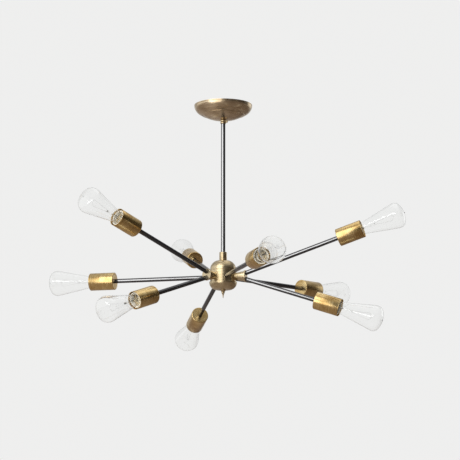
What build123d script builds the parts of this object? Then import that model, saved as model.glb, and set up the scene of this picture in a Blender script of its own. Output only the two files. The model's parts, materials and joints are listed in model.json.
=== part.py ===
from build123d import *
import os
from math import cos, radians, sin, sqrt, tan

# Nine-light sputnik chandelier, in millimetres, +Z up, seen from the -Y side.
#
# The ceiling is the plane z = 0 and the stem runs down the Z axis. A brass hub carries three
# flared twin-arm holders, each with one rising and one falling arm, and three level arms
# between them. Each arm ends in a brass cup that holds a porcelain lamp socket and a bulb.
# Azimuths are measured from +X towards +Y. Threads are plain cylinders.

os.makedirs("parts", exist_ok=True)

# Overall
ARM_PLANE = 381.0  # from the ceiling down to the plane of the level arms
THREAD_GAP = 0.05  # radial clearance of a threaded end in its tapped hole
SEAT_GAP = 0.05  # between flat faces that slide or turn on each other

# Steel tube of the stem and arms
TUBE_R = 4.76
TUBE_WALL = 0.9
TUBE_HOLE_R = TUBE_R + THREAD_GAP
WIRE_BORE_WALL = 1.36  # of the thick-walled threaded tubes
WIRE_BORE_R = TUBE_R - WIRE_BORE_WALL

# Hex lock nut, the same one throughout
NUT_WALL = 2.19  # across its flats
NUT_THICK = 3.0

# Azimuths of the twin-arm holders and of the level arms
HOLDERS = {"left": 225.0, "right": 345.0, "rear": 105.0}
LEVEL_ARMS = {"left": 165.0, "front": 285.0, "rear": 45.0}
ARM_TILT = 18.5  # of the rising and falling arms

# Arm tubes
RISING_TUBE = 229.0
FALLING_TUBE = 176.0
LEVEL_TUBE = 237.5

# Canopy
CANOPY_R = 63.5
CANOPY_DEPTH = 32.5
CANOPY_LIP = 3.0  # straight rim before the bowl curves in
CANOPY_WALL = 1.0
BOWL_RUN = 16.0  # from the rim in to the step where the outer bowl ends
BOWL_DROP = 20.8
BEAD_STEP = 1.4
BOWL_SAG = 3.6  # how far each curved wall bulges from its chord
DOME_SAG = 2.6
CANOPY_FLAT_WIDTH = 4.24  # round the stem's hole
CANOPY_HOLE_GAP = 0.6
CANOPY_HOLE_R = TUBE_R + CANOPY_HOLE_GAP

# Ceiling crossbar
BAR_END_GAP = 8.5  # to the canopy's wall
BAR_LENGTH = 2 * (CANOPY_R - CANOPY_WALL - BAR_END_GAP)
BAR_WIDTH = 19.0
BAR_THICK = 2.0
SLOT_SPACING = 79.4  # the slots take box screws 70 to 89 mm apart
SLOT_LENGTH = 14.4
SLOT_WIDTH = 4.8
GROUND_X = 17.0
GROUND_R = 2.0
GROUND_HEAD_R = 4.0
GROUND_HEAD_THICK = 2.6

# Coupler between the stem and the nipple in the crossbar
COUPLER_R = 7.0
COUPLER_LENGTH = 18.0
COUPLER_MIDDLE = 16.0  # below the ceiling, where the nipple and the stem meet
NIPPLE_GAP = 0.5

# Slip ring and its thumb screw
RING_WALL = 1.56
RING_HEIGHT = 9.0
RING_EDGE = 0.6
RING_SLIDE_GAP = 0.08
RING_BORE_R = TUBE_R + RING_SLIDE_GAP
RING_R = RING_BORE_R + RING_WALL
SCREW_R = 1.5
SCREW_HEAD_R = 3.2
SCREW_HEAD_THICK = 3.0
SCREW_HEAD_EDGE = 0.3
SCREW_NECK = 0.8  # shank seen between ring and head
SCREW_TIP_GAP = 0.15
SCREW_AZIMUTH = -30.0

# Hub: drilled body between a domed top cap and a rounded bottom cap, heights from the arm plane
HUB_R = 28.0
HUB_WALL = 1.5
BODY_TOP = 14.0
BODY_BOTTOM = -15.0
FLAT_DEPTH = 5.5  # of the six flats inside, one behind each hole
FLAT_APOTHEM = HUB_R - FLAT_DEPTH
COLLAR_HEIGHT = 1.6  # locates the top cap
HUB_TOP = 36.0
HUB_TOP_FLAT_R = 8.5
BOWL_LAP = 2.0  # how far the bottom cap stands out round the body
BOWL_R = HUB_R + BOWL_LAP
BOWL_RIM = -11.0
BOWL_BOTTOM = -28.0
BOWL_CURVE_R = 16.0
STUD_PROUD = 2.0  # thread past the lock nut
STUD_END_R = FLAT_APOTHEM - NUT_THICK - STUD_PROUD

# Neck coupling between the stem and the hub, and the tie tube through the hub
NECK_WALL = 3.39
NECK_R = TUBE_HOLE_R + NECK_WALL
NECK_LENGTH = 18.0
NECK_TOP = HUB_TOP + NECK_LENGTH
NECK_EDGE = 0.8
STEM_ENGAGEMENT = 8.0
TIE_ENGAGEMENT = 7.0
TIE_RECESS = 0.3  # the tie tube stops short of the finial's shoulder
WINDOW_WIDTH = 4.0
WINDOW_HEIGHT = 18.0

# Finial
FINIAL_R = 6.0
FINIAL_BODY = 7.0
FINIAL_LENGTH = 18.0
FINIAL_WAIST_R = 3.4
SPIKE_R = 1.6
SPIKE_TIP_R = 0.5
FINIAL_STUD = 8.0  # screws up into the tie tube

# Twin-arm holder, measured outwards from the hub axis
SPOT_FACE = 1.1  # cut into the hub for the holder's neck
HOLDER_SEAT = HUB_R - SPOT_FACE
HOLDER_LENGTH = 24.1
HOLDER_FACE = HOLDER_SEAT + HOLDER_LENGTH
HOLDER_NECK_WALL = 2.04
HOLDER_NECK_R = TUBE_R + HOLDER_NECK_WALL
HOLDER_COLLAR = 1.4  # straight part inside the hub's spot face
POCKET_WEB = 3.24  # between the two pockets at the face
POCKET_RIM = 0.99  # outside each pocket at the face
POCKET_DEPTH = 5.6
POCKET_HALF = TUBE_HOLE_R / cos(radians(ARM_TILT))
FLANGE_R = POCKET_WEB / 2 + 2 * POCKET_HALF + POCKET_RIM
FLANGE_LIP = 1.55
FLANGE_THICK = 3.6
FLANGE_EDGE = 0.7
FLARE_SAG = 0.9
FORK_DEPTH = (POCKET_WEB / 2 + POCKET_HALF) / tan(radians(ARM_TILT))  # where the arms' axes meet
FORK_POINT = HOLDER_FACE - FORK_DEPTH
POCKET_FLOOR = FORK_DEPTH / cos(radians(ARM_TILT)) - POCKET_DEPTH
FORK_BORE_R = 2.9
FORK_BORE_START = 7.0
HOLDER_BORE_STOP = 9.0  # solid end behind the face

# Bulb cap and the socket's parts round it, all measured from the cup's back towards its mouth
CAP_R = 13.0
CAP_GAP = 0.3
SHELL_WALL = 0.4
SHELL_R = CAP_R + CAP_GAP + SHELL_WALL
SHELL_LENGTH = 23.5
SHELL_RING = 5.5  # width of the ring at its foot
SHELL_GAP = 0.2
PORCELAIN_BORE_R = SHELL_R + SHELL_GAP
PORCELAIN_WALL = 2.9
PORCELAIN_R = PORCELAIN_BORE_R + PORCELAIN_WALL
PORCELAIN_EDGE = 0.8
CUP_GAP = 1.25
CUP_WALL = 1.0
CUP_R = PORCELAIN_R + CUP_GAP + CUP_WALL
CUP_LENGTH = 56.0
CUP_BACK = 1.5
CUP_EDGE = 1.4
BRACKET_GAP = 0.65
BRACKET_R = CUP_R - CUP_WALL - BRACKET_GAP
BRACKET_BOSS_WALL = 1.79
BRACKET_BOSS = 1.4
BRACKET_THICK = 1.3
BOSS_START = CUP_BACK + NUT_THICK
PLATE_START = BOSS_START + BRACKET_BOSS
PORCELAIN_START = PLATE_START + BRACKET_THICK
TUBE_PROUD = 1.8  # thread past the bracket
TUBE_IN_CUP = PORCELAIN_START + TUBE_PROUD
PORCELAIN_BASE = 7.3
PORCELAIN_FLOOR = PORCELAIN_START + PORCELAIN_BASE
PORCELAIN_RECESS = 3.8
RECESS_GAP = 2.84  # round the tube's end
MOUTH_RECESS = 2.5
PORCELAIN_END = CUP_LENGTH - MOUTH_RECESS
CONTACT_WIDTH = 6.0
CONTACT_THICK = 0.5
CONTACT_RISE = 4.5
CONTACT_RIVET_X = -5.0
CONTACT_RIVET_R = 1.4
CONTACT_TOP = PORCELAIN_FLOOR + CONTACT_RISE
RIVET_HOLE_GAP = 0.1

# Bulb
BULB_CONTACT_GAP = 0.3
EYELET = CONTACT_TOP + BULB_CONTACT_GAP
EYELET_R = 4.8
EYELET_HEIGHT = 1.0
COLLAR_R = 9.2
COLLAR_RISE = 4.7  # black glass between the eyelet and the cap
CAP_EDGE = 1.4
CAP_LENGTH = 26.7
CAP_END = EYELET + CAP_LENGTH
CAP_WALL = 0.5
CAP_FLOOR = 9.0
GLASS_R = 27.5
GLASS_LENGTH = 131.7  # of the whole bulb
GLASS_END = EYELET + GLASS_LENGTH
GLASS_WALL = 0.8
NECK_STEP = 0.2
NECK_INSERT = 9.0
FLARE_ANGLE = 11.5
BELLY_R = 40.0  # eases the straight flare into the widest point
SHOULDER_R = 13.0
CROWN_R = 45.0  # the nearly flat end
TIP_R = 1.8  # the pip where the envelope was sealed
TIP_HEIGHT = 1.5
STEM_R = 2.4
EXHAUST_R = 0.9
STEM_LENGTH = 38.0

STEM_TOP = CAP_END + STEM_LENGTH

# Filament, one wire bent into a hairpin that stands on the stem
FILAMENT_R = 0.3
FILAMENT_FOOT = (EXHAUST_R + STEM_R) / 2  # from the axis to each end
FILAMENT_LEAD = 2.0  # straight rise from the stem
FILAMENT_SPREAD = 8.0
FILAMENT_RISE = 42.0
LEAD_BEND_R = 3.0
HAIRPIN_BEND_R = 6.0

HUB = Pos(0, 0, -ARM_PLANE)


def turn(outline):
    """A solid turned about Z from a closed outline given as (radius, height)."""
    return revolve(Plane.XZ * make_face(outline), Axis.Z)


def turn_points(*points):
    """A turned solid with a straight-sided outline."""
    return turn(Polyline(*points, close=True))


def rod(radius, low, high):
    """A round bar on the Z axis between two heights."""
    return extrude(Pos(0, 0, low) * Circle(radius), high - low)


def pipe(radius, bore, low, high):
    """A tube on the Z axis between two heights."""
    return extrude(Pos(0, 0, low) * (Circle(radius) - Circle(bore)), high - low)


def radial(azimuth):
    """A frame at the hub whose Z points outwards at the azimuth and whose X points down."""
    return HUB * Rot(0, 0, azimuth) * Rot(0, 90, 0)


def lock_nut(low):
    """Hex nut on the Z axis, from the height low upwards."""
    hexagon = RegularPolygon(TUBE_HOLE_R + NUT_WALL, 6, major_radius=False)
    return extrude(Pos(0, 0, low) * (hexagon - Circle(TUBE_HOLE_R)), NUT_THICK)


# Ceiling fixing


def crossbar():
    slots = Pos(SLOT_SPACING / 2) * SlotOverall(SLOT_LENGTH, SLOT_WIDTH)
    slots += Pos(-SLOT_SPACING / 2) * SlotOverall(SLOT_LENGTH, SLOT_WIDTH)
    ground = Pos(GROUND_X) * Circle(GROUND_R + THREAD_GAP)
    strip = SlotOverall(BAR_LENGTH, BAR_WIDTH) - slots - Circle(TUBE_HOLE_R) - ground
    return extrude(strip, -BAR_THICK)


def ceiling_nipple():
    return pipe(TUBE_R, WIRE_BORE_R, NIPPLE_GAP - COUPLER_MIDDLE, 0)


def ground_screw():
    head = rod(GROUND_HEAD_R, -BAR_THICK - GROUND_HEAD_THICK, -BAR_THICK)
    return Pos(GROUND_X) * (head + rod(GROUND_R, -BAR_THICK, 0))


def stem_coupler():
    half = COUPLER_LENGTH / 2
    return pipe(COUPLER_R, TUBE_HOLE_R, -COUPLER_MIDDLE - half, -COUPLER_MIDDLE + half)


def canopy():
    """Spun bowl with a stepped bead and a shallow dome; the rim meets the ceiling."""
    rim = (CANOPY_R, 0)
    lip = (CANOPY_R, -CANOPY_LIP)
    bead = (CANOPY_R - BOWL_RUN, -BOWL_DROP)
    step = (bead[0] - BEAD_STEP, -BOWL_DROP)
    drop = (step[0], -BOWL_DROP - BEAD_STEP / 2)
    flat = (TUBE_R + CANOPY_FLAT_WIDTH, -CANOPY_DEPTH)
    hole = (CANOPY_HOLE_R, -CANOPY_DEPTH)
    skin = Line(rim, lip)
    skin += SagittaArc(lip, bead, BOWL_SAG)
    skin += Line(bead, step) + Line(step, drop)
    skin += SagittaArc(drop, flat, DOME_SAG)
    skin += Line(flat, hole)
    thick = offset(skin, CANOPY_WALL, kind=Kind.INTERSECTION, side=Side.RIGHT)
    return turn(thick)


def slip_ring():
    low = -CANOPY_DEPTH - SEAT_GAP - RING_HEIGHT
    ring = pipe(RING_R, RING_BORE_R, low, low + RING_HEIGHT)
    rims = ring.edges().filter_by(GeomType.CIRCLE).filter_by(lambda e: abs(e.radius - RING_R) < 0.01)
    ring = chamfer(rims, RING_EDGE)
    return ring - screw_frame() * rod(SCREW_R + THREAD_GAP, 0, 2 * RING_R)


def screw_frame():
    """A frame at the middle of the slip ring whose Z points out along the thumb screw."""
    middle = -CANOPY_DEPTH - SEAT_GAP - RING_HEIGHT / 2
    return Pos(0, 0, middle) * Rot(0, 0, SCREW_AZIMUTH) * Rot(0, 90, 0)


def thumb_screw():
    head_start = RING_R + SCREW_NECK
    shank = rod(SCREW_R, TUBE_R + SCREW_TIP_GAP, head_start)
    head = rod(SCREW_HEAD_R, head_start, head_start + SCREW_HEAD_THICK)
    return screw_frame() * (shank + chamfer(head.edges(), SCREW_HEAD_EDGE))


def stem():
    end = -ARM_PLANE + NECK_TOP - STEM_ENGAGEMENT
    return pipe(TUBE_R, TUBE_R - TUBE_WALL, end, -COUPLER_MIDDLE)


# Hub


def neck_coupling():
    body = turn_points(
        (WIRE_BORE_R, HUB_TOP),
        (NECK_R, HUB_TOP),
        (NECK_R, NECK_TOP - NECK_EDGE),
        (NECK_R - NECK_EDGE, NECK_TOP),
        (WIRE_BORE_R, NECK_TOP),
    )
    body -= rod(TUBE_HOLE_R, NECK_TOP - STEM_ENGAGEMENT, NECK_TOP)
    body -= rod(TUBE_HOLE_R, HUB_TOP, HUB_TOP + TIE_ENGAGEMENT)
    return HUB * body


def hub_top_cap():
    """Domed cap, flush with the body, that drops over the body's collar."""
    side = (HUB_R, BODY_TOP)
    curve_r = min(HUB_R - HUB_TOP_FLAT_R, HUB_TOP - BODY_TOP - COLLAR_HEIGHT)
    corner = (HUB_R, HUB_TOP - curve_r)
    crown = (HUB_R - curve_r, HUB_TOP)
    skin = Line(side, corner) + RadiusArc(corner, crown, -curve_r)
    skin += Line(crown, (TUBE_HOLE_R, HUB_TOP))
    return HUB * turn(offset(skin, HUB_WALL, kind=Kind.INTERSECTION, side=Side.LEFT))


def hub_body():
    """Ring drilled for six threaded ends, with a flat inside for each lock nut."""
    body = rod(HUB_R, BODY_BOTTOM, BODY_TOP)
    body += rod(HUB_R - HUB_WALL - THREAD_GAP, BODY_TOP, BODY_TOP + COLLAR_HEIGHT)
    hexagon = RegularPolygon(FLAT_APOTHEM, 6, rotation=HOLDERS["left"] + 30, major_radius=False)
    body -= extrude(Pos(0, 0, BODY_BOTTOM) * hexagon, BODY_TOP - BODY_BOTTOM + COLLAR_HEIGHT)
    body = HUB * body
    for azimuth in [*HOLDERS.values(), *LEVEL_ARMS.values()]:
        body -= radial(azimuth) * rod(TUBE_HOLE_R, 0, 2 * HUB_R)
    for azimuth in HOLDERS.values():
        body -= radial(azimuth) * rod(HOLDER_NECK_R + THREAD_GAP, HOLDER_SEAT, 2 * HUB_R)
    return body


def hub_bottom_cap():
    """Rounded bowl whose rim laps the body; a ledge inside carries the body's lower edge."""
    curve_top = BOWL_BOTTOM + BOWL_CURVE_R
    curve_x = BOWL_R - BOWL_CURVE_R
    inner_r = BOWL_R - 2 * HUB_WALL
    inner_curve_r = BOWL_CURVE_R - HUB_WALL
    outline = Line((BOWL_R, BOWL_RIM), (BOWL_R, curve_top))
    outline += RadiusArc((BOWL_R, curve_top), (curve_x, BOWL_BOTTOM), BOWL_CURVE_R)
    floor = BOWL_BOTTOM + HUB_WALL
    outline += Line((curve_x, BOWL_BOTTOM), (TUBE_HOLE_R, BOWL_BOTTOM))
    outline += Line((TUBE_HOLE_R, BOWL_BOTTOM), (TUBE_HOLE_R, floor))
    outline += Line((TUBE_HOLE_R, floor), (curve_x, floor))
    ledge = (inner_r, curve_top - sqrt(inner_curve_r**2 - (inner_r - curve_x) ** 2))
    outline += RadiusArc((curve_x, floor), ledge, -inner_curve_r)
    outline += Polyline(
        ledge,
        (inner_r, BODY_BOTTOM),
        (HUB_R + THREAD_GAP, BODY_BOTTOM),
        (HUB_R + THREAD_GAP, BOWL_RIM),
        (BOWL_R, BOWL_RIM),
    )
    return HUB * turn(outline)


def tie_tube():
    """Threaded tube that clamps the hub from coupling to finial, with a window for wires."""
    tube = pipe(TUBE_R, WIRE_BORE_R, BOWL_BOTTOM + TIE_RECESS, HUB_TOP + TIE_ENGAGEMENT)
    window = Pos(0, TUBE_R, 0) * Box(WINDOW_WIDTH, 2 * TUBE_R, WINDOW_HEIGHT)
    return HUB * (tube - window)


def finial():
    body = turn_points(
        (0, 0),
        (FINIAL_R, 0),
        (FINIAL_R, -FINIAL_BODY / 4),
        (FINIAL_WAIST_R, -FINIAL_BODY),
        (SPIKE_R, -FINIAL_BODY - 1),
        (SPIKE_TIP_R, -FINIAL_LENGTH),
        (0, -FINIAL_LENGTH),
    )
    stud = rod(WIRE_BORE_R - THREAD_GAP, 0, FINIAL_STUD)
    return HUB * Pos(0, 0, BOWL_BOTTOM) * (body + stud)


def arm_holder(azimuth):
    """Turned holder: threaded stud, concave flare and a flange with two tilted pockets."""
    flange_back = HOLDER_FACE - FLANGE_THICK
    flare_r = FLANGE_R - FLANGE_LIP
    collar_end = HOLDER_SEAT + HOLDER_COLLAR
    outline = Polyline(
        (HOLDER_NECK_R, collar_end),
        (HOLDER_NECK_R, HOLDER_SEAT),
        (TUBE_R, HOLDER_SEAT),
        (TUBE_R, STUD_END_R),
        (0, STUD_END_R),
        (0, HOLDER_FACE),
        (FLANGE_R - FLANGE_EDGE, HOLDER_FACE),
        (FLANGE_R, HOLDER_FACE - FLANGE_EDGE),
        (FLANGE_R, flange_back),
        (flare_r, flange_back),
    )
    outline += SagittaArc((flare_r, flange_back), (HOLDER_NECK_R, collar_end), FLARE_SAG)
    body = turn(outline) - rod(WIRE_BORE_R, STUD_END_R, HOLDER_FACE - HOLDER_BORE_STOP)
    for tilt in (ARM_TILT, -ARM_TILT):
        fork = Pos(0, 0, FORK_POINT) * Rot(0, tilt, 0)
        body -= fork * rod(TUBE_HOLE_R, POCKET_FLOOR, POCKET_FLOOR + HOLDER_FACE)
        body -= fork * rod(FORK_BORE_R, FORK_BORE_START, POCKET_FLOOR)
    return radial(azimuth) * body


# Arms: each frame lies at the tube's inner end with Z along the tube


def tilted_frame(azimuth, rise):
    """The floor of a holder's pocket; rise is +1 for the rising arm, -1 for the falling."""
    return radial(azimuth) * Pos(0, 0, FORK_POINT) * Rot(0, -rise * ARM_TILT, 0) * Pos(0, 0, POCKET_FLOOR)


def level_frame(azimuth):
    return radial(azimuth) * Pos(0, 0, STUD_END_R)


ARMS = {}
for side, azimuth in HOLDERS.items():
    ARMS["upper_" + side] = (tilted_frame(azimuth, 1), RISING_TUBE)
    ARMS["lower_" + side] = (tilted_frame(azimuth, -1), FALLING_TUBE)
for side, azimuth in LEVEL_ARMS.items():
    ARMS["level_" + side] = (level_frame(azimuth), LEVEL_TUBE)


def cup_frame(name):
    """The back face of the cup on the named arm, with Z towards its mouth."""
    frame, length = ARMS[name]
    return frame * Pos(0, 0, length - TUBE_IN_CUP)


# Lamp socket, in the cup's frame


def socket_cup():
    cup = rod(CUP_R, 0, CUP_LENGTH)
    cup = fillet(cup.edges().sort_by(Axis.Z)[0], CUP_EDGE)
    return cup - rod(CUP_R - CUP_WALL, CUP_BACK, CUP_LENGTH) - rod(TUBE_HOLE_R, 0, CUP_BACK)


def socket_bracket():
    """Threaded boss with a round plate that the porcelain is fastened to."""
    boss = rod(TUBE_HOLE_R + BRACKET_BOSS_WALL, BOSS_START, PLATE_START)
    plate = rod(BRACKET_R, PLATE_START, PORCELAIN_START)
    return boss + plate - rod(TUBE_HOLE_R, BOSS_START, PORCELAIN_START)


def socket_insulator():
    body = rod(PORCELAIN_R, PORCELAIN_START, PORCELAIN_END)
    body = chamfer(body.edges().sort_by(Axis.Z)[-1], PORCELAIN_EDGE)
    body -= rod(PORCELAIN_BORE_R, PORCELAIN_FLOOR, PORCELAIN_END)
    body -= rod(TUBE_R + RECESS_GAP, PORCELAIN_START, PORCELAIN_START + PORCELAIN_RECESS)
    rivet_hole = rod(CONTACT_RIVET_R + RIVET_HOLE_GAP, PORCELAIN_START, PORCELAIN_FLOOR)
    return body - Pos(CONTACT_RIVET_X) * rivet_hole


def screw_shell():
    shell = pipe(SHELL_R, SHELL_R - SHELL_WALL, PORCELAIN_FLOOR, PORCELAIN_FLOOR + SHELL_LENGTH)
    return shell + pipe(SHELL_R, SHELL_R - SHELL_RING, PORCELAIN_FLOOR, PORCELAIN_FLOOR + SHELL_WALL)


def centre_contact():
    """Bent brass tongue, riveted beside the axis and highest on it."""
    floor = PORCELAIN_FLOOR + CONTACT_THICK
    pad = CONTACT_RIVET_X - CONTACT_RIVET_R
    crest = CONTACT_TOP - CONTACT_THICK
    top = Polyline((pad, floor), (-pad + 2 * CONTACT_RIVET_X, floor), (0, CONTACT_TOP), (2, crest))
    strip = offset(top, CONTACT_THICK, kind=Kind.INTERSECTION, side=Side.RIGHT)
    tongue = extrude(Plane.XZ * make_face(strip), CONTACT_WIDTH / 2, both=True)
    rivet = rod(CONTACT_RIVET_R, PORCELAIN_START + PORCELAIN_RECESS, PORCELAIN_FLOOR)
    return tongue + Pos(CONTACT_RIVET_X) * rivet


# Bulb, in the cup's frame


def bulb_base():
    """Eyelet, black glass collar and screw cap."""
    shoulder = EYELET + COLLAR_RISE
    return turn_points(
        (0, EYELET),
        (EYELET_R, EYELET),
        (EYELET_R, EYELET + EYELET_HEIGHT),
        (COLLAR_R, shoulder),
        (CAP_R - CAP_EDGE, shoulder),
        (CAP_R, shoulder + CAP_EDGE),
        (CAP_R, CAP_END),
        (CAP_R - CAP_WALL, CAP_END),
        (CAP_R - CAP_WALL, EYELET + CAP_FLOOR),
        (0, EYELET + CAP_FLOOR),
    )


def glass_skin(shrink):
    """The bulb's outline from neck to crown, drawn in by shrink, as (radius, height)."""
    angle = radians(FLARE_ANGLE)
    shoulder_x = GLASS_R - SHOULDER_R
    reach = CROWN_R - SHOULDER_R
    rise = sqrt(reach**2 - shoulder_x**2)
    crown_centre = GLASS_END - CROWN_R
    crown_r = CROWN_R - shrink
    widest = (GLASS_R - shrink, crown_centre + rise)
    crown_start = (crown_r * shoulder_x / reach, crown_centre + crown_r * rise / reach)
    belly_r = BELLY_R - shrink
    belly_start = (widest[0] - belly_r * (1 - cos(angle)), widest[1] - belly_r * sin(angle))
    neck_r = CAP_R + NECK_STEP - shrink
    neck = (neck_r, belly_start[1] - (belly_start[0] - neck_r) / tan(angle))
    skin = Line((neck_r, CAP_END + GLASS_WALL), neck) + Line(neck, belly_start)
    skin += RadiusArc(belly_start, widest, -belly_r)
    skin += RadiusArc(widest, crown_start, shrink - SHOULDER_R)
    return skin + RadiusArc(crown_start, (0, GLASS_END - shrink), -crown_r)


def bulb_glass():
    """Clear teardrop envelope with a flared stem; the stem's exhaust bore opens below."""
    insert_r = CAP_R - CAP_WALL - THREAD_GAP
    inner_r = insert_r - GLASS_WALL
    foot = CAP_END - NECK_INSERT
    outline = glass_skin(0) + glass_skin(GLASS_WALL)
    outline += Line((0, GLASS_END), (0, GLASS_END - GLASS_WALL))
    outline += Polyline(
        (CAP_R + NECK_STEP, CAP_END + GLASS_WALL),
        (insert_r, CAP_END),
        (insert_r, foot),
        (inner_r, foot),
        (STEM_R, CAP_END - GLASS_WALL),
        (EXHAUST_R, CAP_END),
        (EXHAUST_R, STEM_TOP),
        (STEM_R, STEM_TOP),
        (STEM_R, CAP_END + 4 * GLASS_WALL),
        (inner_r, foot + 2 * GLASS_WALL),
        (inner_r, CAP_END),
        (CAP_R + NECK_STEP - GLASS_WALL, CAP_END + GLASS_WALL),
    )
    tip_foot = GLASS_END - GLASS_WALL / 2
    tip_end = GLASS_END + TIP_HEIGHT
    tip = turn_points((0, tip_foot), (TIP_R, tip_foot), (TIP_R / 3, tip_end), (0, tip_end))
    return turn(outline) + tip


def filament():
    """Hairpin of fine wire whose two ends stand on the stem."""
    low = STEM_TOP + FILAMENT_LEAD
    top = STEM_TOP + FILAMENT_RISE
    bends = [LEAD_BEND_R, HAIRPIN_BEND_R, HAIRPIN_BEND_R, LEAD_BEND_R]
    path = FilletPolyline(
        (-FILAMENT_FOOT, 0, STEM_TOP),
        (-FILAMENT_FOOT, 0, low),
        (-FILAMENT_SPREAD, 0, top),
        (FILAMENT_SPREAD, 0, top),
        (FILAMENT_FOOT, 0, low),
        (FILAMENT_FOOT, 0, STEM_TOP),
        radius=bends,
    )
    return sweep(Pos(-FILAMENT_FOOT, 0, STEM_TOP) * Circle(FILAMENT_R), path=path)


def nuts():
    """Every lock nut: under the crossbar, inside the hub and inside the cups."""
    found = [lock_nut(-BAR_THICK - NUT_THICK)]
    for azimuth in [*HOLDERS.values(), *LEVEL_ARMS.values()]:
        found.append(radial(azimuth) * lock_nut(FLAT_APOTHEM - NUT_THICK))
    for name in ARMS:
        found.append(cup_frame(name) * lock_nut(CUP_BACK))
    return found


def in_each_cup(piece):
    """One copy of a socket piece for each arm."""
    return [cup_frame(name) * piece for name in ARMS]


def save(node, *solids):
    export_step(Compound(children=list(solids)) if len(solids) > 1 else solids[0], f"parts/{node}.step")


def main():
    save("crossbar", crossbar())
    save("ceiling_nipple", ceiling_nipple())
    save("ground_screw", ground_screw())
    save("stem_coupler", stem_coupler())
    save("canopy", canopy())
    save("slip_ring", slip_ring())
    save("thumb_screw", thumb_screw())
    save("stem", stem())
    save("neck_coupling", neck_coupling())
    save("hub_top_cap", hub_top_cap())
    save("hub_body", hub_body())
    save("hub_bottom_cap", hub_bottom_cap())
    save("tie_tube", tie_tube())
    save("finial", finial())
    for side, azimuth in HOLDERS.items():
        save("arm_holder_" + side, arm_holder(azimuth))
    save("lock_nuts", *nuts())
    save("socket_brackets", *in_each_cup(socket_bracket()))
    save("socket_insulators", *in_each_cup(socket_insulator()))
    save("screw_shells", *in_each_cup(screw_shell()))
    save("centre_contacts", *in_each_cup(centre_contact()))
    cup = socket_cup()
    base = bulb_base()
    wire = filament()
    glass = bulb_glass()
    for name, (frame, length) in ARMS.items():
        save("arm_" + name, frame * pipe(TUBE_R, TUBE_R - TUBE_WALL, 0, length))
        save("socket_cup_" + name, cup_frame(name) * cup)
        save("bulb_base_" + name, cup_frame(name) * base, cup_frame(name) * wire)
        save("bulb_glass_" + name, cup_frame(name) * glass)


main()
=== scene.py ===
import json
from math import atan2, cos, pi, radians, sin, sqrt, tan

import bpy
from mathutils import Matrix, Vector

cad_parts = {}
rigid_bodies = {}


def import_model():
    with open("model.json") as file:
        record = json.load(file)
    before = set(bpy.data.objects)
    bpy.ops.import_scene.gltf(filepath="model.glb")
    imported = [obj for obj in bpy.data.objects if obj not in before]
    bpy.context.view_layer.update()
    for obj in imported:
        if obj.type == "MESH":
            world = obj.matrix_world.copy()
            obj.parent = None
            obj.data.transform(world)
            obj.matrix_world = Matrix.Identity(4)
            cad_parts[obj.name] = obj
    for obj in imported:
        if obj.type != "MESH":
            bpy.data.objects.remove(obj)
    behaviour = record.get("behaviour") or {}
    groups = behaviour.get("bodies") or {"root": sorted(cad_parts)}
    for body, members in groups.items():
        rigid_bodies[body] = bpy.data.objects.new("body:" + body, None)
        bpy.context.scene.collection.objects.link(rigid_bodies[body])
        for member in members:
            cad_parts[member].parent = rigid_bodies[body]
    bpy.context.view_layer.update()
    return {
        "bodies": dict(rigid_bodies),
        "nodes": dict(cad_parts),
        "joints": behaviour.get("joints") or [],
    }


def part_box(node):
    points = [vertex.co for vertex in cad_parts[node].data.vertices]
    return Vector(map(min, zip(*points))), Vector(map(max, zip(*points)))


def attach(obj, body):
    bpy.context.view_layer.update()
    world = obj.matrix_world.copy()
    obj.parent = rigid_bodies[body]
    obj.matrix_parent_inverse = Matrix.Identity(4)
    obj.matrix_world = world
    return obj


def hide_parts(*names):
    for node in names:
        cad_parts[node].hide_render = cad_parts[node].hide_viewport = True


# Nine-light sputnik chandelier. Outlines are in millimetres, as (radius, height) about a piece's
# own axis; meshes are in metres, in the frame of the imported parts.

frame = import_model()

MM = 0.001
ROUND = 96  # segments round a turned piece
FINE_ROUND = 160

# Sizes that several pieces share, in millimetres
ARM_PLANE = 381.0  # below the ceiling
TUBE_R = 4.76
TUBE_BORE_R = 3.86
HOLE_R = 4.81  # of the tapped and drilled holes that take the tube
WIRE_BORE_R = 3.4
TUBE_IN_CUP = 9.0
ARM_TILT = 18.5

JOINTS = {joint["name"]: joint for joint in frame["joints"]}
ARM_NAMES = [name[len("bulb_"):] for name in frame["bodies"] if name.startswith("bulb_")]
HOLDER_SIDES = [name[len("upper_"):] for name in ARM_NAMES if name.startswith("upper_")]
LEVEL_SIDES = [name[len("level_"):] for name in ARM_NAMES if name.startswith("level_")]
CEILING = Matrix.Identity(4)
HUB = Matrix.Translation((0, 0, -ARM_PLANE * MM))


# Outlines


def arc(centre, radius, start, end, steps=12):
    """Points on an arc round centre, from the angle start to end, in degrees."""
    found = []
    for i in range(steps + 1):
        a = radians(start + (end - start) * i / steps)
        found.append((centre[0] + radius * cos(a), centre[1] + radius * sin(a)))
    return found


def bulged(start, end, bulge, steps=16):
    """Points on an arc from start to end that stands bulge to the right of its chord."""
    a, b = Vector(start), Vector(end)
    half = (b - a).length / 2
    radius = (half * half + bulge * bulge) / (2 * abs(bulge))
    along = (b - a).normalized()
    side = Vector((along.y, -along.x)) * (1 if bulge > 0 else -1)
    centre = (a + b) / 2 - side * (radius - abs(bulge))
    first = atan2((a - centre).y, (a - centre).x)
    last = atan2((b - centre).y, (b - centre).x)
    turn = (last - first + pi) % (2 * pi) - pi
    found = []
    for i in range(steps + 1):
        angle = first + turn * i / steps
        found.append((centre.x + radius * cos(angle), centre.y + radius * sin(angle)))
    return found


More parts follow.
